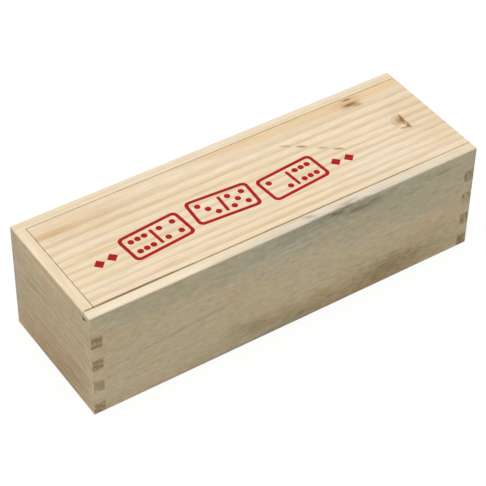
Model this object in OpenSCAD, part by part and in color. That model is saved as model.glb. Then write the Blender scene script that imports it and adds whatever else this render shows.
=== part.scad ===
/* [Box] */
// Outside length of the box, along X
box_length = 180; // [140:1:240]
// Outside width of the box, along Y
box_width = 60; // [50:1:90]
// Outside height of the box, along Z
box_height = 51; // [40:1:70]
// Thickness of the side and end boards
board_t = 5; // [4:0.5:6]
// Radius of the sanded outer edges
edge_r = 0.6; // [0.2:0.1:1]

/* [Corner joints] */
// Height of one finger; an end board has as many as fit under the lid groove
finger_h = 5.8; // [4:0.1:8]

/* [Lid grooves] */
// Height of the lip left above the lid groove
lip_h = 2.5; // [2:0.1:3]
// Height of the lid groove
groove_h = 2.2; // [1.8:0.1:2.8]
// Depth of the lid groove into the boards
groove_depth = 2.5; // [2:0.1:3]
// How far the lips above the lid groove stand back from the boards' inside faces
lip_setback = 0.5; // [0:0.1:1]
// Wood left uncut at the closed end of the back side's lid groove
back_groove_stop = 1.5; // [0.5:0.1:2]
// Length left at full width at the closed end of the front side's lip
front_lip_stop = 1; // [0.5:0.1:2]

/* [Lid] */
// Gap around the lid's edges, inside the lips and inside the grooves
lid_edge_gap = 0.25; // [0.1:0.05:0.5]
// Running gap above and below the lid's tongue
tongue_gap = 0.1; // [0.05:0.05:0.2]

/* [Thumb notch] */
// Distance from the lid's free end to the upright wall of the notch
notch_from_end = 13.5; // [10:0.1:30]
// Width of the notch across the lid, at its upright wall
notch_width = 10.4; // [7:0.1:14]
// Length of the notch along the lid, from its shallow tip to its upright wall
notch_length = 6; // [4:0.1:10]
// Depth of the scoop that cuts the notch
notch_depth = 2.4; // [1:0.1:3]

/* [Base] */
// Thickness of the base panel
base_t = 3; // [2:0.5:4]
// Height of the base panel's underside above the bottom edge of the boards
base_lift = 2; // [1:0.5:3]
// Depth of the base groove into the long sides
base_groove_depth = 2.5; // [2:0.1:3]
// Gap over the base panel and along its edges
base_gap = 0.1; // [0.05:0.05:0.3]

/* [Hidden] */

$fn = 48;

// How far a cutter runs past the face that it cuts
overcut = 1;

// Inside faces of the boards, as distances from the box's centre lines
inner_x = box_length / 2 - board_t;
inner_y = box_width / 2 - board_t;

// Floor and roof of the lid groove; the open end stops at the floor, so the lid slides out over it
groove_floor = box_height - lip_h - groove_h;
groove_roof = box_height - lip_h;

// Inner faces of the lips above the groove
lip_x = inner_x + lip_setback;
lip_y = inner_y + lip_setback;

// Underside of the lid and top of its tongue
lid_bottom = groove_floor + tongue_gap;
tongue_top = groove_roof - tongue_gap;

// Seen from above, the notch is a circle cut off by its upright wall: the circle's radius, and the radius of
// the sphere that scoops it out
notch_outline_r = (pow(notch_width / 2, 2) + pow(notch_length, 2)) / (2 * notch_length);
notch_sphere_r = (pow(notch_outline_r, 2) + pow(notch_depth, 2)) / (2 * notch_depth);

// Colours of the woods
pine_side = [0.78, 0.69, 0.53];
pine_end = [0.75, 0.66, 0.50];
pine_lid = [0.90, 0.81, 0.65];
plywood = [0.82, 0.72, 0.55];

// Square-cornered block between two opposite corners
module block(low, high) {
    translate(low) cube(high - low);
}

// Rectangle with round corners, centred, made of exact squares and circles
module eased_rectangle(length, width) {
    square([length - 2 * edge_r, width], center = true);
    square([length, width - 2 * edge_r], center = true);
    for (x = [-1, 1], y = [-1, 1])
        translate([x * (length / 2 - edge_r), y * (width / 2 - edge_r)]) circle(r = edge_r);
}

// Outer form of the glued box, with its edges sanded round in all three directions
module sanded_form() {
    intersection() {
        linear_extrude(box_height) eased_rectangle(box_length, box_width);
        translate([-box_length / 2, 0, box_height / 2])
            rotate([90, 0, 90]) linear_extrude(box_length) eased_rectangle(box_width, box_height);
        translate([0, box_width / 2, box_height / 2])
            rotate([90, 0, 0]) linear_extrude(box_width) eased_rectangle(box_length, box_height);
    }
}

// Heights at which an end board's fingers start: every other step, from the bottom edge up
finger_starts = [for (start = [0 : 2 * finger_h : groove_floor - finger_h]) start];

// Long side at the front, with both its grooves and the gaps for the fingers of the end boards. Its lid
// groove stops short of the -X end by stop, and its lip is full beside the closed end; where stop is 0 the
// groove runs out through that end, and the lip is full only at the very end
module long_side(stop = 0) {
    front = -box_width / 2;
    back = -inner_y;
    groove_start = stop > 0 ? -box_length / 2 + stop : -box_length / 2 - overcut;
    lip_start = stop > 0 ? -lip_x : -box_length / 2 + front_lip_stop;
    intersection() {
        difference() {
            block([-box_length / 2, front, 0], [box_length / 2, back, box_height]);
            for (z = finger_starts, end = [0, 1])
                mirror([end, 0, 0])
                    block([inner_x, front - overcut, z - (z == 0 ? overcut : 0)],
                          [box_length / 2 + overcut, back + overcut, z + finger_h]);
            block([groove_start, back - groove_depth, groove_floor],
                  [box_length / 2 + overcut, back + overcut, groove_roof]);
            block([lip_start, -lip_y, groove_floor],
                  [box_length / 2 + overcut, back + overcut, box_height + overcut]);
            block([-inner_x, back - base_groove_depth, base_lift],
                  [inner_x, back + overcut, base_lift + base_t + base_gap]);
        }
        sanded_form();
    }
}

// End board on the -X side, of a given height, which fits between the long sides and fingers into them
module end_board(height) {
    outer = -box_length / 2;
    inner = -inner_x;
    block([outer, -inner_y, 0], [inner, inner_y, height]);
    for (z = finger_starts)
        block([outer, -box_width / 2, z], [inner, box_width / 2, z + finger_h]);
}

module front_side() {
    color(pine_side) long_side();
}

module back_side() {
    color(pine_side) mirror([0, 1, 0]) long_side(back_groove_stop);
}

// Full-height end, grooved inside for the lid's leading tongue
module closed_end() {
    color(pine_end) intersection() {
        difference() {
            end_board(box_height);
            block([-inner_x - groove_depth, -inner_y - overcut, groove_floor],
                  [-inner_x + overcut, inner_y + overcut, groove_roof]);
            block([-lip_x, -inner_y - overcut, groove_floor],
                  [-inner_x + overcut, inner_y + overcut, box_height + overcut]);
        }
        sanded_form();
    }
}

// Lower end, over which the lid slides out
module open_end() {
    color(pine_end) intersection() {
        mirror([1, 0, 0]) end_board(groove_floor);
        sanded_form();
    }
}

// Thin floor, held in the grooves of the long sides and butted to the end boards
module base_panel() {
    half_length = inner_x - base_gap;
    half_width = inner_y + base_groove_depth - base_gap;
    color(plywood) block([-half_length, -half_width, base_lift], [half_length, half_width, base_lift + base_t]);
}

// Round scoop that leaves an upright wall towards the lid's free end
module thumb_notch() {
    wall_x = box_length / 2 - notch_from_end;
    intersection() {
        translate([wall_x - notch_length + notch_outline_r, 0, box_height - notch_depth + notch_sphere_r])
            sphere(r = notch_sphere_r, $fn = 96);
        block([wall_x - notch_length - overcut, -notch_outline_r - overcut, box_height - notch_depth - overcut],
              [wall_x, notch_outline_r + overcut, box_height + overcut]);
    }
}

// Lid with a tongue along its long edges and its leading end, flush with the top of the box
module sliding_lid() {
    face_y = lip_y - lid_edge_gap;
    tongue_y = inner_y + groove_depth - lid_edge_gap;
    color(pine_lid) intersection() {
        difference() {
            union() {
                block([-lip_x + lid_edge_gap, -face_y, lid_bottom], [box_length / 2, face_y, box_height]);
                block([-inner_x - groove_depth + lid_edge_gap, -tongue_y, lid_bottom],
                      [box_length / 2, tongue_y, tongue_top]);
            }
            thumb_notch();
        }
        sanded_form();
    }
}

front_side();
back_side();
closed_end();
open_end();
base_panel();
sliding_lid();
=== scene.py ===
"""Looks of a small finger-jointed pine box with a sliding lid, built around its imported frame, in metres."""
import math

import bmesh
import bpy
from mathutils import Matrix, Vector


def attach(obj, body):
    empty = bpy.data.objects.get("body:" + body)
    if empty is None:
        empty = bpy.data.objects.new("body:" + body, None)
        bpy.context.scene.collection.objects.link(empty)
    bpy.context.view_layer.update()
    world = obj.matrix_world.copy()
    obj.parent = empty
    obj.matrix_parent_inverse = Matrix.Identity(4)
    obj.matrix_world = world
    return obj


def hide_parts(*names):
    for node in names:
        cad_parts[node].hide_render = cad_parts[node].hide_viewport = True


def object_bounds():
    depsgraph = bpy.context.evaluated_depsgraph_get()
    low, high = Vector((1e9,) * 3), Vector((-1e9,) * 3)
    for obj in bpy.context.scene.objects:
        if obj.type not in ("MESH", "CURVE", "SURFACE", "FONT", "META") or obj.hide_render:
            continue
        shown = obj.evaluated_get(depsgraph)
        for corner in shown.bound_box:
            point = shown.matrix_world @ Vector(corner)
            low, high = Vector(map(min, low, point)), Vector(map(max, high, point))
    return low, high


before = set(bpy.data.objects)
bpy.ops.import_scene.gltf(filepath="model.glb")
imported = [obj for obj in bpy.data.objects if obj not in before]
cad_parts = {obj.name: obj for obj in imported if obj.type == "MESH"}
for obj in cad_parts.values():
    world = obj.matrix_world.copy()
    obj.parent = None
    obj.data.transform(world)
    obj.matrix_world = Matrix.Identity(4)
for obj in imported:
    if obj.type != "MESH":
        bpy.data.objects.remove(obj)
cad_low, cad_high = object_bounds()

MM = 0.001

# The photograph's view: where the camera stands, the way it looks, in degrees, and its lens
CAMERA_PLACE = (-0.307216, -0.442039, 0.511804)
CAMERA_AZIMUTH = -34.5617
CAMERA_ELEVATION = 42.3693
CAMERA_ROLL = 1.1454
CAMERA_LENS = 134.256
CAMERA_SENSOR = 36.0
CAMERA_NEAREST = 0.01

# Light of the studio: an even glow from the world and a wide soft lamp overhead
WORLD_GLOW = 0.36
LAMP_STRENGTH = 2.0
LAMP_TILT = (4.0, -6.0)
LAMP_SPREAD = 50.0

# The floor as the camera sees it, and as light that bounces off it sees it
FLOOR_SIZE = 4.0
FLOOR_GLOW = 0.86
FLOOR_SHEEN = 0.16
FLOOR_BOUNCE = 0.36

# Gloss: the shader's specular level, and the least roughness with what the height of the grain adds to it
PINE_SPECULAR = 0.3
PINE_ROUGHNESS = (0.58, 0.14)
INK_SPECULAR = 0.1
INK_ROUGHNESS = (0.5, 0.15)

# How strongly the grain stands out of the wood, and how deep it is
RELIEF_STRENGTH = 0.3
RELIEF_DEPTH = 0.05 * MM

# How fast the patterns of the growth rings change along the grain and across it, per mm
RING_DRIFT = (0.008, 0.03, 0.03)
LINE_PATCHES = (0.03, 0.25, 0.25)
FIBRES = (0.06, 1.9, 1.9)
MOTTLE = (0.12, 0.7, 0.7)
RESIN_FLECKS = (0.45, 4.5, 4.5)
WARM_PATCHES = (0.015, 0.09, 0.09)

# How wide a ring drifts for a Wander of 1, in mm, and how fast the ring spacing varies outwards, per mm
DRIFT_REACH = 6.0
RING_SWELL = 0.11

# Where in a ring, from 0 to 1, late wood starts and is darkest, and where it has ended and starts to fade
LATE_WOOD_RISE = (0.3, 0.78)
LATE_WOOD_FALL = (1.0, 0.84)

# Darkness of a late-wood line: the shares that differ by line and by patch, and the least that it has
LINE_OWN = 0.35
LINE_PATCHY = 1.1
LINE_LEAST = 0.1

# How much a resin fleck darkens the wood, and what lines and fibres add to the height of the grain
RESIN_DARKENS = 0.1
HEIGHT_OF_LINES = 0.4
HEIGHT_OF_FIBRES = 0.6

# Tints of cool and warm areas in the wood
COOL_WOOD = (1.0, 1.0, 1.04)
WARM_WOOD = (0.985, 0.965, 0.92)

# How fast the patterns of handled wood change along the grain and across it, per mm
BROAD_BLOTCHES = (0.03, 0.06, 0.06)
SMALL_BLOTCHES = (0.15, 0.3, 0.3)
FINE_MOTTLE = (0.3, 0.7, 0.7)
DARK_FLECKS = (0.3, 1.2, 1.2)
FLECK_CLUSTERS = (0.03, 0.09, 0.09)

# Tints of the blotches and of the small dark flecks in handled wood
BROAD_GREEN = (0.975, 1.0, 0.99)
BROAD_TAN = (1.025, 0.995, 0.965)
SMALL_GREEN = (0.99, 1.005, 0.99)
SMALL_TAN = (1.01, 0.995, 1.005)
FLECK = (0.6, 0.5, 0.37)

# How far one step of a seed moves the patterns of the rings and of the handled wood, in mm
RING_SEED_STEP = (31.7, 17.3, 23.9)
WEATHER_SEED_STEP = (43.1, 19.7, 28.3)

# End grain: how fine its pores are, per mm, and the shares of its pores, its rings and its even tint
PORE_SCALE = 0.9
END_PORES = 0.55
END_LINES = 0.9
END_EVEN = 0.3


def add_camera():
    azimuth, elevation = math.radians(CAMERA_AZIMUTH), math.radians(CAMERA_ELEVATION)
    back = Vector((math.sin(azimuth) * math.cos(elevation),
                   -math.cos(azimuth) * math.cos(elevation),
                   math.sin(elevation)))
    roll = Matrix.Rotation(math.radians(CAMERA_ROLL), 4, "Z")
    turn = back.to_track_quat("Z", "Y").to_matrix().to_4x4() @ roll
    camera = bpy.data.objects.new("photo_camera", bpy.data.cameras.new("photo_camera"))
    camera.data.lens = CAMERA_LENS
    camera.data.sensor_width = CAMERA_SENSOR
    camera.data.clip_start = CAMERA_NEAREST
    camera.matrix_world = Matrix.Translation(CAMERA_PLACE) @ turn
    bpy.context.scene.collection.objects.link(camera)
    bpy.context.scene.camera = camera


def place(tree, kind, inputs=None, **settings):
    """Adds a shader node, with inputs by name or number: a socket is linked, anything else is set."""
    made = tree.nodes.new("ShaderNode" + kind)
    for name, value in settings.items():
        setattr(made, name, value)
    for key, value in (inputs or {}).items():
        if isinstance(value, bpy.types.NodeSocket):
            tree.links.new(value, made.inputs[key])
        else:
            made.inputs[key].default_value = value
    return made


def rgba(colour):
    return (*colour, 1.0)


def maths(tree, operation, *values):
    return place(tree, "Math", dict(enumerate(values)), operation=operation).outputs[0]


def vectors(tree, operation, *values, scale=None):
    inputs = dict(enumerate(values))
    if scale is not None:
        inputs["Scale"] = scale
    made = place(tree, "VectorMath", inputs, operation=operation)
    return made.outputs["Value" if operation in ("LENGTH", "DOT_PRODUCT") else "Vector"]


def ease(tree, value, low, high):
    """0 before low and 1 past high, turning softly at both; low may be the larger of the two."""
    inputs = {"Value": value, "From Min": low, "From Max": high}
    return place(tree, "MapRange", inputs, interpolation_type="SMOOTHSTEP").outputs["Result"]


# Numbers of the Mix node's colour sockets, because its sockets of other kinds have the same names
MIX_SHARE, MIX_FIRST, MIX_SECOND, MIX_RESULT = 0, 6, 7, 2


def blend_colours(tree, share, first, second, blend_type="MIX"):
    """first where share is 0 and second where it is 1."""
    inputs = {MIX_SHARE: share, MIX_FIRST: first, MIX_SECOND: second}
    return place(tree, "Mix", inputs, data_type="RGBA", blend_type=blend_type).outputs[MIX_RESULT]


def noise(tree, point, scale=1.0, detail=2.0, output="Fac", **settings):
    inputs = {"Scale": scale, "Detail": detail}
    inputs["W" if settings.get("noise_dimensions") == "1D" else "Vector"] = point
    return place(tree, "TexNoise", inputs, **settings).outputs[output]


def grained(tree, point, stretch, detail=2.0, output="Fac"):
    """Noise drawn out along the grain: stretch is how fast it changes along X, Y and Z, per mm."""
    return noise(tree, vectors(tree, "MULTIPLY", point, stretch), 1.0, detail, output)


def from_middle(tree, value, strength):
    """How far a noise value is from its middle, times a strength."""
    return maths(tree, "MULTIPLY", maths(tree, "SUBTRACT", value, 0.5), strength)


def new_group(name, inputs, outputs):
    """An empty node group, with its inputs as {name: (kind, default)} and its outputs as {name: kind}."""
    tree = bpy.data.node_groups.new(name, "ShaderNodeTree")
    for label, (kind, value) in inputs.items():
        socket = tree.interface.new_socket(label, in_out="INPUT", socket_type="NodeSocket" + kind)
        socket.default_value = value
    for label, kind in outputs.items():
        tree.interface.new_socket(label, in_out="OUTPUT", socket_type="NodeSocket" + kind)
    return tree, tree.nodes.new("NodeGroupInput").outputs, tree.nodes.new("NodeGroupOutput").inputs


def use_group(tree, group, **values):
    """Places a group, with its inputs given by name and underscores for spaces."""
    made = place(tree, "Group")
    made.node_tree = group
    for label, value in values.items():
        socket = made.inputs[label.replace("_", " ")]
        if isinstance(value, bpy.types.NodeSocket):
            tree.links.new(value, socket)
        else:
            socket.default_value = value
    return made.outputs


def pine_grain_group():
    """Growth rings round the tree's centre line, fibres and resin flecks, with the grain along X, in mm."""
    tree, given, results = new_group(
        "pine grain",
        {"Point": ("Vector", (0, 0, 0)),
         "Pith": ("Vector", (0, 0, -60)),
         "Ring Width": ("Float", 4.0),
         "Uneven": ("Float", 1.0),
         "Wander": ("Float", 1.0),
         "Seed": ("Float", 0.0),
         "Early Wood": ("Color", (0.84, 0.67, 0.47, 1)),
         "Late Wood": ("Color", (0.7, 0.5, 0.3, 1)),
         "Line Strength": ("Float", 0.6),
         "Fibre Strength": ("Float", 0.3),
         "Mottle Strength": ("Float", 0.2)},
        {"Color": "Color", "Lines": "Float", "Height": "Float"})
    shift = vectors(tree, "SCALE", RING_SEED_STEP, scale=given["Seed"])
    seeded = vectors(tree, "ADD", given["Point"], shift)

    slow = grained(tree, seeded, RING_DRIFT, output="Color")
    drift = vectors(tree, "SCALE", vectors(tree, "SUBTRACT", slow, (0.5, 0.5, 0.5)),
                    scale=maths(tree, "MULTIPLY", given["Wander"], DRIFT_REACH))
    bent = vectors(tree, "SUBTRACT", vectors(tree, "ADD", given["Point"], drift), given["Pith"])
    radius = vectors(tree, "LENGTH", vectors(tree, "MULTIPLY", bent, (0, 1, 1)))
    outwards = maths(tree, "ADD", maths(tree, "MULTIPLY", radius, RING_SWELL), given["Seed"])
    swell = noise(tree, outwards, 1.0, 1.0, noise_dimensions="1D")
    phase = maths(tree, "ADD", maths(tree, "DIVIDE", radius, given["Ring Width"]),
                  maths(tree, "MULTIPLY", swell, given["Uneven"]))
    across = maths(tree, "FRACT", phase)
    line = maths(tree, "MULTIPLY", ease(tree, across, *LATE_WOOD_RISE), ease(tree, across, *LATE_WOOD_FALL))
    ring_number = maths(tree, "ADD", maths(tree, "FLOOR", phase), given["Seed"])
    each = place(tree, "TexWhiteNoise", {"W": ring_number}, noise_dimensions="1D").outputs["Value"]
    patchy = grained(tree, seeded, LINE_PATCHES)
    weight = maths(tree, "ADD", maths(tree, "MULTIPLY", each, LINE_OWN),
                   maths(tree, "MULTIPLY", patchy, LINE_PATCHY))
    lines = maths(tree, "MULTIPLY", line, maths(tree, "ADD", weight, LINE_LEAST))

    fibre = grained(tree, seeded, FIBRES, 3.0)
    mottle = grained(tree, seeded, MOTTLE, 3.0)
    fleck = ease(tree, grained(tree, seeded, RESIN_FLECKS, 1.0), 0.68, 0.78)
    warmth = ease(tree, grained(tree, seeded, WARM_PATCHES), 0.3, 0.7)

    wood = blend_colours(tree, maths(tree, "MULTIPLY", lines, given["Line Strength"]),
                         given["Early Wood"], given["Late Wood"])
    wood = vectors(tree, "MULTIPLY", wood, blend_colours(tree, warmth, rgba(COOL_WOOD), rgba(WARM_WOOD)))
    level = maths(tree, "ADD", 1.0, from_middle(tree, fibre, given["Fibre Strength"]))
    level = maths(tree, "ADD", level, from_middle(tree, mottle, given["Mottle Strength"]))
    unflecked = maths(tree, "SUBTRACT", 1.0, maths(tree, "MULTIPLY", fleck, RESIN_DARKENS))
    level = maths(tree, "MULTIPLY", level, unflecked)
    tree.links.new(vectors(tree, "SCALE", wood, scale=level), results["Color"])
    tree.links.new(lines, results["Lines"])
    height = maths(tree, "ADD", maths(tree, "MULTIPLY", lines, HEIGHT_OF_LINES),
                   maths(tree, "MULTIPLY", fibre, HEIGHT_OF_FIBRES))
    tree.links.new(height, results["Height"])
    return tree


def faces_group():
    """Shares, from 0 to 1, of a board's own faces: its cut ends, and faces that look upwards."""
    tree, given, results = new_group(
        "faces",
        {"Along": ("Vector", (1, 0, 0))},
        {"End": "Float", "Top": "Float"})
    normal = place(tree, "TexCoord").outputs["Normal"]
    facing = maths(tree, "ABSOLUTE", vectors(tree, "DOT_PRODUCT", normal, given["Along"]))
    tree.links.new(ease(tree, facing, 0.85, 0.99), results["End"])
    upwards = vectors(tree, "DOT_PRODUCT", normal, (0, 0, 1))
    tree.links.new(ease(tree, upwards, 0.5, 0.9), results["Top"])
    return tree


def weather_group():
    """Grey-green and tan blotches of handled wood, with the grain along X, as a colour to multiply by."""
    tree, given, results = new_group(
        "weather",
        {"Point": ("Vector", (0, 0, 0)),
         "Seed": ("Float", 0.0),
         "Mottle Strength": ("Float", 0.46),
         "Fleck Strength": ("Float", 0.42)},
        {"Color": "Color"})
    shift = vectors(tree, "SCALE", WEATHER_SEED_STEP, scale=given["Seed"])
    point = vectors(tree, "ADD", given["Point"], shift)
    broad = ease(tree, grained(tree, point, BROAD_BLOTCHES, 3.0), 0.35, 0.65)
    small = ease(tree, grained(tree, point, SMALL_BLOTCHES), 0.35, 0.65)
    hue = blend_colours(tree, broad, rgba(BROAD_GREEN), rgba(BROAD_TAN))
    hue = vectors(tree, "MULTIPLY", hue, blend_colours(tree, small, rgba(SMALL_GREEN), rgba(SMALL_TAN)))
    fine = grained(tree, point, FINE_MOTTLE, 4.0)
    flecks = ease(tree, grained(tree, point, DARK_FLECKS, 1.0), 0.6, 0.78)
    clusters = ease(tree, grained(tree, point, FLECK_CLUSTERS, 1.0), 0.38, 0.62)
    share = maths(tree, "MULTIPLY", maths(tree, "MULTIPLY", flecks, clusters), given["Fleck Strength"])
    hue = blend_colours(tree, share, hue, rgba(FLECK), "MULTIPLY")
    level = maths(tree, "ADD", 1.0, from_middle(tree, fine, given["Mottle Strength"]))
    tree.links.new(vectors(tree, "SCALE", hue, scale=level), results["Color"])
    return tree


def mark_group():
    """Share, from 0 to 1, of a soft-edged oval on a board's face, such as a stain, a streak or a knot."""
    tree, given, results = new_group(
        "mark",
        {"Point": ("Vector", (0, 0, 0)),
         "Centre": ("Vector", (0, 0, 0)),
         "Axis": ("Vector", (0, 0, 1)),
         "Turn": ("Float", 0.0),
         "Half Size": ("Vector", (1, 1, 1)),
         "Softness": ("Float", 0.5),
         "Ragged": ("Float", 0.2),
         "Grain": ("Vector", (0.1, 0.4, 0.4))},
        {"Share": "Float"})
    centred = vectors(tree, "SUBTRACT", given["Point"], given["Centre"])
    turning = {"Vector": centred, "Axis": given["Axis"], "Angle": given["Turn"]}
    local = place(tree, "VectorRotate", turning).outputs[0]
    away = vectors(tree, "LENGTH", vectors(tree, "DIVIDE", local, given["Half Size"]))
    rough = grained(tree, given["Point"], given["Grain"], 4.0)
    wobble = from_middle(tree, rough, maths(tree, "MULTIPLY", given["Ragged"], 4.0))
    edge = maths(tree, "SUBTRACT", 1.0, given["Softness"])
    tree.links.new(ease(tree, maths(tree, "ADD", away, wobble), 1.0, edge), results["Share"])
    return tree


PINE_GRAIN = pine_grain_group()
FACES = faces_group()
WEATHER = weather_group()
MARK = mark_group()


def new_material(name, specular):
    """A material with its tree and its Principled shader, whose even values are set on the shader itself."""
    material = bpy.data.materials.new(name)
    material.use_nodes = True
    tree = material.node_tree
    tree.nodes.clear()
    shader = place(tree, "BsdfPrincipled", {"Specular IOR Level": specular})
    place(tree, "OutputMaterial", {"Surface": shader.outputs[0]})
    return material, tree, shader


def roughen(tree, shader, height, least, added):
    """Makes a surface rougher where its grain is higher."""
    rough = maths(tree, "ADD", least, maths(tree, "MULTIPLY", height, added))
    tree.links.new(rough, shader.inputs["Roughness"])


def millimetres(tree):
    """The piece's own coordinates, in mm."""
    point = place(tree, "TexCoord").outputs["Object"]
    return place(tree, "Mapping", {"Vector": point, "Scale": (1 / MM, 1 / MM, 1 / MM)}).outputs[0]


# Outer faces of the box, in mm from its middle and from its underside, and how deep marks on its sides go
TOP_FACE = 51.0
FRONT_FACE = -30.0
CLOSED_FACE = -90.0
SIDE_DEPTH = 1.5

# How fast a mark's ragged edge changes along X, Y and Z, per mm: long streaks and short flecks on boards with
# their grain along X, and stains and short flecks on boards with their grain along Y
STREAKY = (0.05, 0.4, 0.4)
FLECKED = (0.25, 1.0, 1.0)
STAINED_ACROSS = (0.4, 0.1, 0.4)
FLECKED_ACROSS = (0.8, 0.2, 0.8)


def on_top(x, y, length, width, colour, height=TOP_FACE, depth=3.0, **more):
    """A mark on an upper face, in mm from the middle of the box; depth is its reach down and up."""
    return {"Centre": (x, y, height), "Half_Size": (length / 2, width / 2, depth), "Axis": (0, 0, 1),
            "colour": colour, **more}


def on_front(x, z, length, height, colour, **more):
    """A mark on the front face; a turn above 0 makes it rise to the right."""
    return {"Centre": (x, FRONT_FACE, z), "Half_Size": (length / 2, SIDE_DEPTH, height / 2),
            "Axis": (0, 1, 0), "colour": colour, **more}


def on_closed_end(y, z, length, height, colour, **more):
    """A mark on the outside of the closed end."""
    return {"Centre": (CLOSED_FACE, y, z), "Half_Size": (SIDE_DEPTH, length / 2, height / 2),
            "Axis": (1, 0, 0), "Grain": STAINED_ACROSS, "colour": colour, **more}


def add_marks(tree, point, colour, marks):
    """Lays the marks over a colour, one by one; most have very soft edges and darken what is under them."""
    for mark in marks:
        shape = {"Softness": 0.9, "Ragged": 0.2, **mark}
        tint = shape.pop("colour")
        strength = shape.pop("strength", 1.0)
        blend = shape.pop("blend", "MULTIPLY")
        shape["Turn"] = math.radians(shape.pop("turn", 0))
        share = maths(tree, "MULTIPLY", use_group(tree, MARK, Point=point, **shape)["Share"], strength)
        colour = blend_colours(tree, share, colour, rgba(tint), blend)
    return colour


def pine(name, early, late, rings, across=False, end_tint=(0.8, 0.78, 0.74), side_tint=(1, 1, 1), marks=()):
    """Bare sanded wood. across is for grain along Y, and side_tint, a painted tint of the light that falls on
    them, is for all faces that don't look up.
    """
    material, tree, shader = new_material(name, PINE_SPECULAR)
    point = millimetres(tree)
    grain_point = point
    if across:
        turning = {"Vector": point, "Rotation": (0, 0, math.radians(-90))}
        grain_point = place(tree, "Mapping", turning).outputs[0]
    grain = use_group(tree, PINE_GRAIN, Point=grain_point, Early_Wood=rgba(early), Late_Wood=rgba(late),
                      **rings)
    faces = use_group(tree, FACES, Along=(0, 1, 0) if across else (1, 0, 0))
    side = maths(tree, "SUBTRACT", 1.0, faces["Top"])
    weather = use_group(tree, WEATHER, Point=grain_point, Seed=rings["Seed"])["Color"]
    # The faces that don't look up take the blotches of handled wood and side_tint, a painted tint of the
    # light on them
    aged_and_side_lit = vectors(tree, "MULTIPLY", weather, side_tint)
    coloured = blend_colours(tree, side, grain["Color"], aged_and_side_lit, "MULTIPLY")

    pores = ease(tree, noise(tree, point, PORE_SCALE, 4.0), 0.25, 0.6)
    porous = maths(tree, "ADD", maths(tree, "MULTIPLY", pores, END_PORES),
                   maths(tree, "MULTIPLY", grain["Lines"], END_LINES))
    porous = maths(tree, "MULTIPLY", faces["End"], maths(tree, "ADD", porous, END_EVEN))
    coloured = blend_colours(tree, porous, coloured, rgba(end_tint), "MULTIPLY")

    coloured = add_marks(tree, point, coloured, marks)
    tree.links.new(coloured, shader.inputs["Base Color"])
    roughen(tree, shader, grain["Height"], *PINE_ROUGHNESS)
    relief = {"Strength": RELIEF_STRENGTH, "Distance": RELIEF_DEPTH, "Height": grain["Height"]}
    tree.links.new(place(tree, "Bump", relief).outputs[0], shader.inputs["Normal"])
    return material


def red_ink(colour, on_lines, rings):
    """Matt printing ink that lets the lines of the board under it show faintly."""
    material, tree, shader = new_material("red ink", INK_SPECULAR)
    grain = use_group(tree, PINE_GRAIN, Point=millimetres(tree), Early_Wood=rgba(colour),
                      Late_Wood=rgba(on_lines), **rings)
    tree.links.new(grain["Color"], shader.inputs["Base Color"])
    roughen(tree, shader, grain["Height"], *INK_ROUGHNESS)
    return material


# Growth rings of each board, with the grain along X; those of the lid show through the ink too
LID_RINGS = {"Pith": (0.0, 22.0, 43.0), "Ring_Width": 3.9, "Uneven": 0.7, "Wander": 0.25, "Seed": 3.0,
             "Line_Strength": 0.66, "Fibre_Strength": 0.36, "Mottle_Strength": 0.24}
FRONT_RINGS = {"Pith": (0.0, 10.0, -70.0), "Ring_Width": 5.0, "Uneven": 2.0, "Wander": 2.0, "Seed": 1.0,
               "Line_Strength": 0.15, "Fibre_Strength": 0.12, "Mottle_Strength": 0.1}
BACK_RINGS = {"Pith": (0.0, -50.0, 60.0), "Ring_Width": 4.2, "Uneven": 1.5, "Wander": 1.5, "Seed": 5.0}
CLOSED_RINGS = {"Pith": (0.0, 110.0, -45.0), "Ring_Width": 3.2, "Uneven": 1.5, "Wander": 1.0, "Seed": 7.0,
                "Line_Strength": 0.5}
OPEN_RINGS = {"Pith": (0.0, -60.0, 10.0), "Ring_Width": 4.0, "Uneven": 1.5, "Wander": 1.5, "Seed": 9.0}
BASE_RINGS = {"Pith": (0.0, 10.0, 40.0), "Ring_Width": 6.0, "Uneven": 3.0, "Wander": 5.0, "Seed": 11.0,
              "Line_Strength": 0.5}

# Colours of the marks, which are multiplied with what lies under them
TAN = (0.93, 0.85, 0.71)
PALE_TAN = (0.93, 0.89, 0.86)
KNOT = (0.4, 0.31, 0.26)
KNOT_RING = (0.9, 0.83, 0.81)
KNOT_HEART = (0.74, 0.6, 0.52)
RESIN = (0.5, 0.4, 0.24)
GREY_STAIN = (0.875, 0.925, 0.98)
SOOT = (0.5, 0.48, 0.44)
# Painted shade inside the opening of the lid groove
GROOVE_SHADE = (0.22, 0.18, 0.12)
BROWN_STAIN = (0.79, 0.73, 0.62)
OLD_BROWN = (0.88, 0.84, 0.77)
GREY_BROWN = (0.8, 0.75, 0.69)
DULL = (0.9, 0.89, 0.86)
GREY_PATCH = (0.78, 0.79, 0.79)
# Dirt, and painted shade in the seams beside the lid and in the corner slit
SEAM_SHADE_AND_DIRT = (0.5, 0.38, 0.26)
# Painted shade in the hollows of the thumb notch
NOTCH_SHADE = (0.57, 0.48, 0.36)
# Painted shade along the front's bottom edge and down its corner at the open end
FRONT_EDGE_SHADE = (0.78, 0.8, 0.9)
# Painted shade along the bottom edge of the closed end
END_BOTTOM_SHADE = (0.78, 0.82, 0.84)
RUST = (0.88, 0.81, 0.73)
PALE_FINGER = (1.25, 1.27, 1.4)
# Painted cool light down the back edge of the closed end
COLD_EDGE_LIGHT = (0.86, 0.94, 1.05)
COLD_SHADE = (0.94, 0.97, 1.05)
BLUISH = (0.97, 0.99, 1.08)
GREYED = (0.96, 0.95, 0.95)
BRIGHTER = (1.07, 1.07, 1.06)
BROWNED = (0.9, 0.88, 0.84)
WARMED = (1.02, 0.965, 0.9)
WORN_WHITE = (1.1, 1.12, 1.16)

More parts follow.
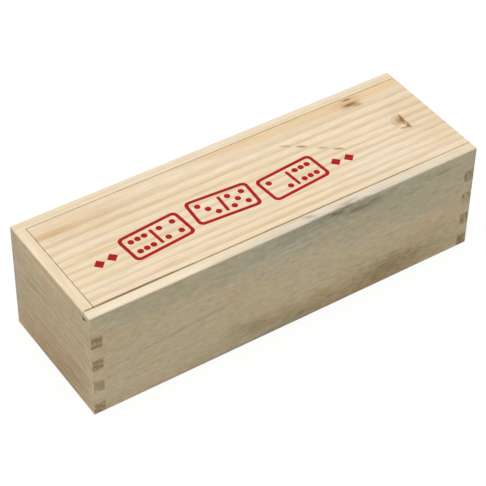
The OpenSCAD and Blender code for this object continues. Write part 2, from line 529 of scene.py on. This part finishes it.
# Colours that a mark puts in place of what lies under it
# Painted light on the upright wall of the thumb notch
NOTCH_WALL_LIGHT = (1.0, 0.93, 0.78)
CLEAN_LIP = (0.93, 0.8, 0.6)
GREY_LIP = (0.75, 0.66, 0.53)

lid_marks = [
    on_top(50, 24.2, 164, 11.2, TAN, depth=6, Softness=0.4, Ragged=0.1, Grain=STREAKY),
    on_top(-64, 17, 76, 22, PALE_TAN, depth=6, Grain=STREAKY),
    on_top(84, -2, 44, 56, PALE_TAN, depth=6, strength=0.8, Grain=STREAKY),
    on_top(-80, 17.5, 32, 4.6, TAN, depth=6, Softness=0.8, Grain=STREAKY),
    on_top(-66, -0.3, 46, 2.6, TAN, depth=6, Grain=STREAKY),
    # The knot
    on_top(62.5, 21.6, 18, 11, KNOT_RING, Softness=0.8),
    on_top(63.4, 20.5, 11.0, 3.4, KNOT, Softness=0.8, Ragged=0.12),
    on_top(66.2, 19.0, 7.0, 3.6, KNOT_HEART, Softness=0.8),
    on_top(64.0, 23.9, 6.6, 2.1, KNOT, Softness=0.8, Ragged=0.12, strength=0.85),
    # Painted shade and dirt in the seam along the front lip
    on_top(-69, -25.0, 62, 1.0, SEAM_SHADE_AND_DIRT, Softness=0.6, Ragged=0.1),
    on_top(0, -25.1, 190, 0.6, SEAM_SHADE_AND_DIRT, Softness=0.6, strength=0.6),
    # Painted shade in the hollows of the thumb notch, and painted light on its upright wall
    on_top(75.8, 2.9, 6.6, 5.0, NOTCH_SHADE, height=49.4, depth=2.4, Softness=0.8, Ragged=0.1),
    on_top(74.6, -1.8, 6.4, 2.1, NOTCH_SHADE, height=48.9, depth=2.2, Softness=0.6, Ragged=0.1, strength=0.9),
    on_top(76.5, -0.6, 1.4, 2.0, NOTCH_WALL_LIGHT, height=49.5, depth=1.0, Softness=0.7, Ragged=0.0,
           blend="MIX", strength=0.7),
]
# A broken resin streak across the lid
for x, y, strength in ((25.6, 12.7, 0.6), (31.0, 8.9, 1.0), (37.5, 3.9, 0.6), (42.8, -0.2, 0.9)):
    lid_marks.append(on_top(x, y, 7.0, 2.1, RESIN, turn=31, Softness=0.8, Ragged=0.05, strength=strength))

# Dark grain below the front lip: place along X and Z, length, height, turn, raggedness and strength
dark_grain = [
    on_front(x, z, length, height, SOOT, turn=turn, Ragged=ragged, Grain=FLECKED, strength=strength)
    for x, z, length, height, turn, ragged, strength in (
        (20.5, 49.2, 12, 2.6, 0, 0.3, 0.8),
        (30.5, 46.6, 13, 3.6, 0, 0.35, 0.7),
        (38.5, 47.4, 13, 3.6, 8, 0.35, 0.7),
        (26.0, 50.6, 8, 1.6, 0, 0.3, 0.6),
        (48.0, 48.6, 9, 3.0, 0, 0.3, 0.45),
        (49.0, 38.5, 8, 2.0, 0, 0.3, 0.4),
        (66, 47, 30, 7, -3, 0.4, 0.2),
        (58, 43, 20, 3.4, 0, 0.4, 0.3),
        (75, 46, 16, 3.0, 0, 0.4, 0.3),
        (70, 36, 16, 3.0, 0, 0.4, 0.22),
        (-3, 46, 18, 3.6, 0, 0.4, 0.3),
        (-16, 44, 16, 3.4, 0, 0.4, 0.28),
        (-29, 42, 14, 3.0, -6, 0.4, 0.3),
    )
]

# Grey and pale spots of wear on the front lip: place along X and Y, length, width, colour and strength
lip_wear = [
    on_top(x, y, length, width, colour, depth=1.2, Ragged=0.35, Grain=FLECKED, strength=strength)
    for x, y, length, width, colour, strength in (
        (-78, -28.6, 14, 1.8, WORN_WHITE, 0.6),
        (-58, -26.6, 18, 1.4, SOOT, 0.14),
        (-44, -28.8, 20, 1.8, WORN_WHITE, 0.6),
        (-22, -27.2, 16, 1.6, WORN_WHITE, 0.5),
        (-8, -28.9, 14, 1.6, SOOT, 0.2),
        (2, -26.4, 18, 1.4, SOOT, 0.25),
        (14, -27.0, 10, 1.6, WORN_WHITE, 0.6),
        (34, -27.2, 14, 1.8, WORN_WHITE, 0.5),
        (44, -28.8, 18, 1.6, SOOT, 0.22),
        (58, -26.6, 16, 1.4, SOOT, 0.18),
        (68, -28.4, 16, 1.8, WORN_WHITE, 0.6),
        (80, -27.2, 12, 1.6, SOOT, 0.16),
    )
]

front_marks = [
    on_front(62, 52, 190, 62, GREY_STAIN, turn=-9, Softness=0.35, Ragged=0.3, Grain=STREAKY),
    on_front(-40, 56, 150, 40, GREY_STAIN, Softness=0.4, Ragged=0.25, Grain=STREAKY),
    on_front(4, 52, 60, 28, GREY_PATCH, Ragged=0.3, strength=0.7),
    on_front(2, 38, 90, 20, BLUISH, Ragged=0.3),
    on_front(34, 47, 50, 10, GREY_PATCH, turn=-4, Softness=0.8, Ragged=0.35, Grain=FLECKED),
    *dark_grain,
    # Brown and grey stains near the bottom
    on_front(44, 5, 104, 40, OLD_BROWN, Ragged=0.3),
    on_front(76, 8, 60, 40, DULL, Ragged=0.3),
    on_front(70, 21, 52, 26, WARMED, turn=6, Ragged=0.3),
    on_front(-26, 1, 110, 22, DULL, Ragged=0.3),
    on_front(50, 8, 50, 18, SOOT, Ragged=0.5, Grain=FLECKED, strength=0.24),
    on_front(22, 3, 60, 14, SOOT, Ragged=0.4, Grain=FLECKED, strength=0.2),
    on_front(45, 4, 76, 22, BROWN_STAIN, Ragged=0.4, Grain=FLECKED, strength=0.8),
    on_front(50, 8, 34, 15, BROWN_STAIN, turn=6, Ragged=0.3, Grain=FLECKED, strength=0.6),
    on_front(0, 6, 60, 20, GREY_BROWN, Ragged=0.3),
    on_front(5, 3, 10, 6, SOOT, Ragged=0.4, Grain=FLECKED, strength=0.5),
    on_front(19, 6, 5, 4, SOOT, Ragged=0.4, Grain=FLECKED, strength=0.4),
    on_front(-21, 9, 32, 14, GREY_PATCH, turn=-12, Ragged=0.35, Grain=FLECKED),
    # A scratch, painted shade along the bottom edge and painted cool shade down the corner at the open end
    on_front(-53.5, 24.4, 78, 1.1, SOOT, turn=5, Grain=FLECKED, strength=0.48),
    on_front(0, 0.2, 190, 4.0, FRONT_EDGE_SHADE, Softness=0.6, Ragged=0.1),
    on_front(89.8, 25, 2.0, 60, FRONT_EDGE_SHADE, Softness=0.6),
    # The lip's top, cleaner at the closed end and worn and grey from the middle on
    on_top(-65, -30, 68, 14, CLEAN_LIP, depth=0.8, Softness=0.5, blend="MIX", strength=0.8),
    on_top(30, -30, 150, 14, GREY_LIP, depth=0.8, Softness=0.6, blend="MIX", strength=0.7),
    on_top(9, -27.6, 10, 3.0, SOOT, depth=2, turn=15, Ragged=0.35, Grain=FLECKED, strength=0.6),
    on_top(26, -28.4, 16, 2.6, SOOT, depth=2, Ragged=0.35, Grain=FLECKED, strength=0.6),
    on_top(22, -29.8, 40, 1.8, SOOT, depth=2, Softness=0.8, Ragged=0.4, Grain=FLECKED, strength=0.7),
    # Painted shade and dirt in the seams beside the lid and at the corner
    on_top(-69, -25.6, 62, 0.9, SEAM_SHADE_AND_DIRT, Softness=0.6, Ragged=0.1),
    on_top(0, -25.6, 190, 0.6, SEAM_SHADE_AND_DIRT, Softness=0.6, strength=0.6),
    on_top(-87.2, -25.2, 6, 0.8, SEAM_SHADE_AND_DIRT, Softness=0.4, Ragged=0.0, strength=0.5),
    *lip_wear,
    # The open end of the lid groove, darkened with painted shade
    on_top(-90, -26.2, 6, 2.6, GROOVE_SHADE, height=47.4, depth=1.2, Softness=0.3, Ragged=0.05),
]

# Stains, painted shade and painted light on the closed end's face, which run on over the end grain of the
# long sides
end_face_marks = [
    on_closed_end(0, 2, 90, 44, RUST, Ragged=0.3),
    # Painted cool shade over its back half
    on_closed_end(30, 28, 34, 70, COLD_SHADE),
    on_closed_end(-4, 8, 50, 5, RUST, Ragged=0.3, strength=0.6),
    # Painted shade along its bottom edge
    on_closed_end(0, 0.4, 66, 5.0, END_BOTTOM_SHADE, Softness=0.6, Ragged=0.1),
    # Painted cool light down its back edge
    on_closed_end(29.4, 25.5, 4.4, 60, COLD_EDGE_LIGHT, Softness=0.7, Ragged=0.1),
]
closed_marks = [
    *end_face_marks,
    on_closed_end(0, 14, 120, 56, GREYED, Softness=0.6),
    on_closed_end(5, 47, 80, 18, BRIGHTER, Softness=0.8),
    on_closed_end(-17, 14, 32, 16, BROWNED, Ragged=0.3),
    # The palest finger on the front
    on_front(-87.5, 14.5, 9, 9, PALE_FINGER, Softness=0.4, Ragged=0.0),
]
# Short dark streaks on the closed end
for y, z, length, strength in ((2, 41.8, 44, 0.4), (6, 37.2, 36, 0.35), (10, 33.6, 30, 0.4),
                               (-11, 26.5, 8, 0.6), (-6, 22.8, 12, 0.5), (14, 31.5, 16, 0.4),
                               (1, 13.5, 20, 0.4), (-14, 10.5, 18, 0.5), (-8, 6.0, 26, 0.4)):
    closed_marks.append(on_closed_end(y, z, length, 1.2, SOOT, Ragged=0.35, strength=strength,
                                      Grain=FLECKED_ACROSS))

# Dull and grey tints over the open end's fingers on the front
open_marks = [
    on_front(84, 8, 40, 36, DULL),
    on_front(88, 0, 20, 18, GREY_BROWN, Softness=0.8),
    on_front(88, 38, 12, 14, GREY_PATCH, Softness=0.8, strength=0.8),
]
# Dark spots along the edges of the same fingers
for x, z, width, height in ((85.5, 38.3, 1.8, 5.0), (85.6, 27.4, 1.6, 4.0), (88.6, 16.0, 1.8, 5.5),
                            (86.3, 13.8, 2.0, 3.4), (85.8, 4.4, 1.8, 4.0)):
    open_marks.append(on_front(x, z, width, height, SEAM_SHADE_AND_DIRT, Softness=0.8, Grain=FLECKED, strength=0.75))

materials = {
    "front": pine("pine of the front side", early=(0.86, 0.73, 0.52), late=(0.74, 0.6, 0.39),
                  rings=FRONT_RINGS, end_tint=(1.02, 1.01, 1.0), side_tint=(1.02, 1.015, 0.93),
                  marks=front_marks + end_face_marks),
    "back": pine("pine of the back side", early=(0.87, 0.73, 0.52), late=(0.76, 0.6, 0.39),
                 rings=BACK_RINGS, end_tint=(1.03, 1.02, 1.0), side_tint=(0.98, 0.96, 0.9),
                 marks=end_face_marks),
    "closed": pine("pine of the closed end", early=(0.89, 0.73, 0.51), late=(0.72, 0.55, 0.34),
                   rings=CLOSED_RINGS, across=True, end_tint=(0.6, 0.55, 0.43), side_tint=(1.0, 0.98, 0.9),
                   marks=closed_marks),
    "open": pine("pine of the open end", early=(0.87, 0.73, 0.5), late=(0.72, 0.55, 0.35),
                 rings=OPEN_RINGS, across=True, end_tint=(0.8, 0.77, 0.7), side_tint=(0.94, 0.95, 0.91),
                 marks=open_marks),
    "base": pine("birch plywood", early=(0.8, 0.68, 0.5), late=(0.7, 0.55, 0.37), rings=BASE_RINGS),
    "lid": pine("pine of the lid", early=(0.89, 0.73, 0.52), late=(0.68, 0.51, 0.31), rings=LID_RINGS,
                marks=lid_marks),
    "ink": red_ink((0.45, 0.013, 0.01), (0.36, 0.012, 0.01), LID_RINGS),
}

# The boards: CAD node, body, slot, material, and how far the sharp edges are broken
BOARDS = (
    ("front_side", "box", "pine_side", "front", 0.12 * MM),
    ("back_side", "box", "pine_side", "back", 0.12 * MM),
    ("closed_end", "box", "pine_end", "closed", 0.12 * MM),
    ("open_end", "box", "pine_end", "open", 0.12 * MM),
    ("base_panel", "box", "plywood", "base", 0.12 * MM),
    ("sliding_lid", "lid", "pine_lid", "lid", 0.15 * MM),
)

# Points nearer than WELD are joined, faces within FLAT_ANGLE are one, and edges past SHARP_ANGLE are broken
WELD = 0.002 * MM
FLAT_ANGLE = math.radians(0.5)
SHARP_ANGLE = math.radians(50)

# Size of the glue line in the corner joint beside the front lip, and the place of its middle, in mm
GLUE_SIZE = (3.4, 0.48, 2.0)
GLUE_PLACE = (-87.25, -25.25, 49.6)

# Thickness of the print, and how near two points are at the same place
INK_THICKNESS = 0.02 * MM
SAME_PLACE = 0.001 * MM

# A drawn tile's outline, its inside and the bar across its middle: half length and width, and corner radius
TILE_OUTLINE = ((14.0, 7.4), 2.4)
TILE_INSIDE = ((12.5, 5.9), 1.3)
TILE_BAR = ((0.7, 4.6), 0.5)

# Pips of a tile's half, in units of the spacing between pips
PIPS = {
    1: [(0, 0)],
    2: [(-1, 1), (1, -1)],
    3: [(-1, 1), (0, 0), (1, -1)],
    4: [(-1, 1), (1, 1), (-1, -1), (1, -1)],
    5: [(-1, 1), (1, 1), (0, 0), (-1, -1), (1, -1)],
    6: [(-1, 1), (0, 1), (1, 1), (-1, -1), (0, -1), (1, -1)],
}
PIP_RADIUS = 1.3
PIP_SPACING = 3.1

# Distance from a tile's middle to the middle of each half
HALF_MIDDLE = 6.6

# Printed design, in mm from the middle of the box: three tiles, each with its tilt in degrees and the pips of
# its halves, and small diamonds on both sides of them
TILES = (
    ((-46.0, -5.0), 5, (6, 4)),
    ((-14.5, -3.0), -4, (3, 5)),
    ((17.0, -5.0), 5, (2, 6)),
)
DIAMONDS = ((-72.0, -6.8), (-66.0, -6.2), (37.0, -6.2), (43.0, -6.8))
DIAMOND_HALF = 2.4


def add_piece(name, shape, body, material, node_name=None):
    """A finished piece on its body. A board also has the CAD node that it replaces."""
    mesh = bpy.data.meshes.new(name)
    shape.to_mesh(mesh)
    shape.free()
    mesh.materials.clear()
    mesh.materials.append(material)
    piece = bpy.data.objects.new(name, mesh)
    bpy.context.scene.collection.objects.link(piece)
    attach(piece, body)
    if node_name:
        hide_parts(node_name)
    return piece


def add_board(node_name, body, material, softening):
    """A new board on a CAD node's exact shape, with its flat faces made whole and its sharp edges broken."""
    shape = bmesh.new()
    shape.from_mesh(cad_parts[node_name].data)
    bmesh.ops.remove_doubles(shape, verts=shape.verts, dist=WELD)
    bmesh.ops.dissolve_limit(shape, angle_limit=FLAT_ANGLE, verts=shape.verts, edges=shape.edges)
    sharp = [edge for edge in shape.edges if edge.calc_face_angle() > SHARP_ANGLE]
    bmesh.ops.bevel(shape, geom=sharp, offset=softening, segments=2, profile=0.5, affect="EDGES",
                    material=-1, clamp_overlap=False)
    return add_piece(node_name + "_board", shape, body, material, node_name)


def sink_top(board):
    """Lowers a board's top by the ink's thickness, so that the print on it ends at the CAD box."""
    for vertex in board.data.vertices:
        if vertex.co.z > cad_high.z - SAME_PLACE:
            vertex.co.z -= INK_THICKNESS


def add_corner_glue():
    """The line of glue in the joint between the front side and the closed end, beside the lip."""
    shape = bmesh.new()
    bmesh.ops.create_cube(shape, size=1.0)
    bmesh.ops.scale(shape, verts=shape.verts, vec=[side * MM for side in GLUE_SIZE])
    bmesh.ops.translate(shape, verts=shape.verts, vec=[distance * MM for distance in GLUE_PLACE])
    add_piece("corner_joint_glue", shape, "box", materials["front"])


def ring(centre, radius, steps=28):
    """Points round a circle."""
    angles = [2 * math.pi * step / steps for step in range(steps)]
    return [(centre[0] + radius * math.cos(a), centre[1] + radius * math.sin(a)) for a in angles]


def rounded_box(half, radius, steps=6):
    """Points round a rectangle with round corners, centred."""
    points = []
    for corner, (sx, sy) in enumerate(((1, 1), (-1, 1), (-1, -1), (1, -1))):
        middle = (sx * (half[0] - radius), sy * (half[1] - radius))
        for step in range(steps + 1):
            angle = math.radians(90 * (corner + step / steps))
            points.append((middle[0] + radius * math.cos(angle), middle[1] + radius * math.sin(angle)))
    return points


def diamond(centre, half):
    x, y = centre
    return [(x + half, y), (x, y + half), (x - half, y), (x, y - half)]


def tile_outlines(centre, tilt, halves):
    """Outlines of a drawn domino tile: its border, the bar across its middle and the pips of both halves."""
    outlines = [rounded_box(*TILE_OUTLINE), rounded_box(*TILE_INSIDE), rounded_box(*TILE_BAR)]
    for side, count in zip((-1, 1), halves):
        outlines += [ring((side * HALF_MIDDLE + PIP_SPACING * x, PIP_SPACING * y), PIP_RADIUS)
                     for x, y in PIPS[count]]
    turn = Matrix.Rotation(math.radians(tilt), 2)
    return [[tuple(turn @ Vector(point) + Vector(centre)) for point in outline] for outline in outlines]


def add_print(name, outlines):
    """A thin film of ink on the lid, filled between outlines given in mm."""
    curve = bpy.data.curves.new(name, "CURVE")
    curve.dimensions = "2D"
    curve.fill_mode = "BOTH"
    curve.extrude = INK_THICKNESS / 2
    for outline in outlines:
        spline = curve.splines.new("POLY")
        spline.points.add(len(outline) - 1)
        for point, (x, y) in zip(spline.points, outline):
            point.co = (x * MM, y * MM, 0, 1)
        spline.use_cyclic_u = True
    drawn = bpy.data.objects.new(name + "_outline", curve)
    bpy.context.scene.collection.objects.link(drawn)
    shape = bmesh.new()
    shape.from_mesh(drawn.to_mesh())
    drawn.to_mesh_clear()
    bpy.data.objects.remove(drawn)
    bmesh.ops.remove_doubles(shape, verts=shape.verts, dist=SAME_PLACE)
    bmesh.ops.recalc_face_normals(shape, faces=shape.faces)
    bmesh.ops.translate(shape, verts=shape.verts, vec=(0, 0, cad_high.z - INK_THICKNESS / 2))
    add_piece(name, shape, "lid", materials["ink"])


def seen_directly(tree):
    """1 for the camera and for what shines or is seen through, 0 for light that bounces."""
    path = place(tree, "LightPath").outputs
    shiny = maths(tree, "MAXIMUM", path["Is Glossy Ray"], path["Is Transmission Ray"])
    return maths(tree, "MAXIMUM", path["Is Camera Ray"], shiny)


def add_floor():
    """A pale floor that the camera sees as white, but for the box's soft shadow."""
    shape = bmesh.new()
    bmesh.ops.create_grid(shape, x_segments=1, y_segments=1, size=FLOOR_SIZE / 2)
    mesh = bpy.data.meshes.new("floor")
    shape.to_mesh(mesh)
    shape.free()
    floor = bpy.data.objects.new("floor", mesh)
    bpy.context.scene.collection.objects.link(floor)
    material = bpy.data.materials.new("pale floor")
    material.use_nodes = True
    tree = material.node_tree
    tree.nodes.clear()
    glow = place(tree, "Emission", {"Color": rgba((1, 1, 1)), "Strength": FLOOR_GLOW})
    sheen = place(tree, "BsdfDiffuse", {"Color": rgba((FLOOR_SHEEN,) * 3)})
    seen = place(tree, "AddShader", {0: glow.outputs[0], 1: sheen.outputs[0]})
    bounced = place(tree, "BsdfDiffuse", {"Color": rgba((FLOOR_BOUNCE,) * 3)})
    both = place(tree, "MixShader", {0: seen_directly(tree), 1: bounced.outputs[0], 2: seen.outputs[0]})
    place(tree, "OutputMaterial", {"Surface": both.outputs[0]})
    mesh.materials.append(material)


def add_light():
    scene = bpy.context.scene
    world = bpy.data.worlds.new("studio")
    scene.world = world
    world.use_nodes = True
    tree = world.node_tree
    tree.nodes.clear()
    glow = place(tree, "Background", {"Color": rgba((1, 1, 1)), "Strength": WORLD_GLOW})
    white = place(tree, "Background", {"Color": rgba((1, 1, 1)), "Strength": 1.0})
    both = place(tree, "MixShader", {0: seen_directly(tree), 1: glow.outputs[0], 2: white.outputs[0]})
    place(tree, "OutputWorld", {"Surface": both.outputs[0]})

    lamp = bpy.data.objects.new("soft_lamp", bpy.data.lights.new("soft_lamp", "SUN"))
    lamp.data.energy = LAMP_STRENGTH
    lamp.data.angle = math.radians(LAMP_SPREAD)
    lamp.rotation_euler = [math.radians(angle) for angle in (*LAMP_TILT, 0)]
    scene.collection.objects.link(lamp)
    scene.view_settings.view_transform = "Standard"


add_camera()

boards = {
    node_name: add_board(node_name, body, materials[finish], softening)
    for node_name, body, slot, finish, softening in BOARDS
}
sink_top(boards["sliding_lid"])
add_corner_glue()

for number, tile in enumerate(TILES, 1):
    add_print(f"printed_tile_{number}", tile_outlines(*tile))
add_print("printed_diamonds", [diamond(centre, DIAMOND_HALF) for centre in DIAMONDS])

add_floor()
add_light()
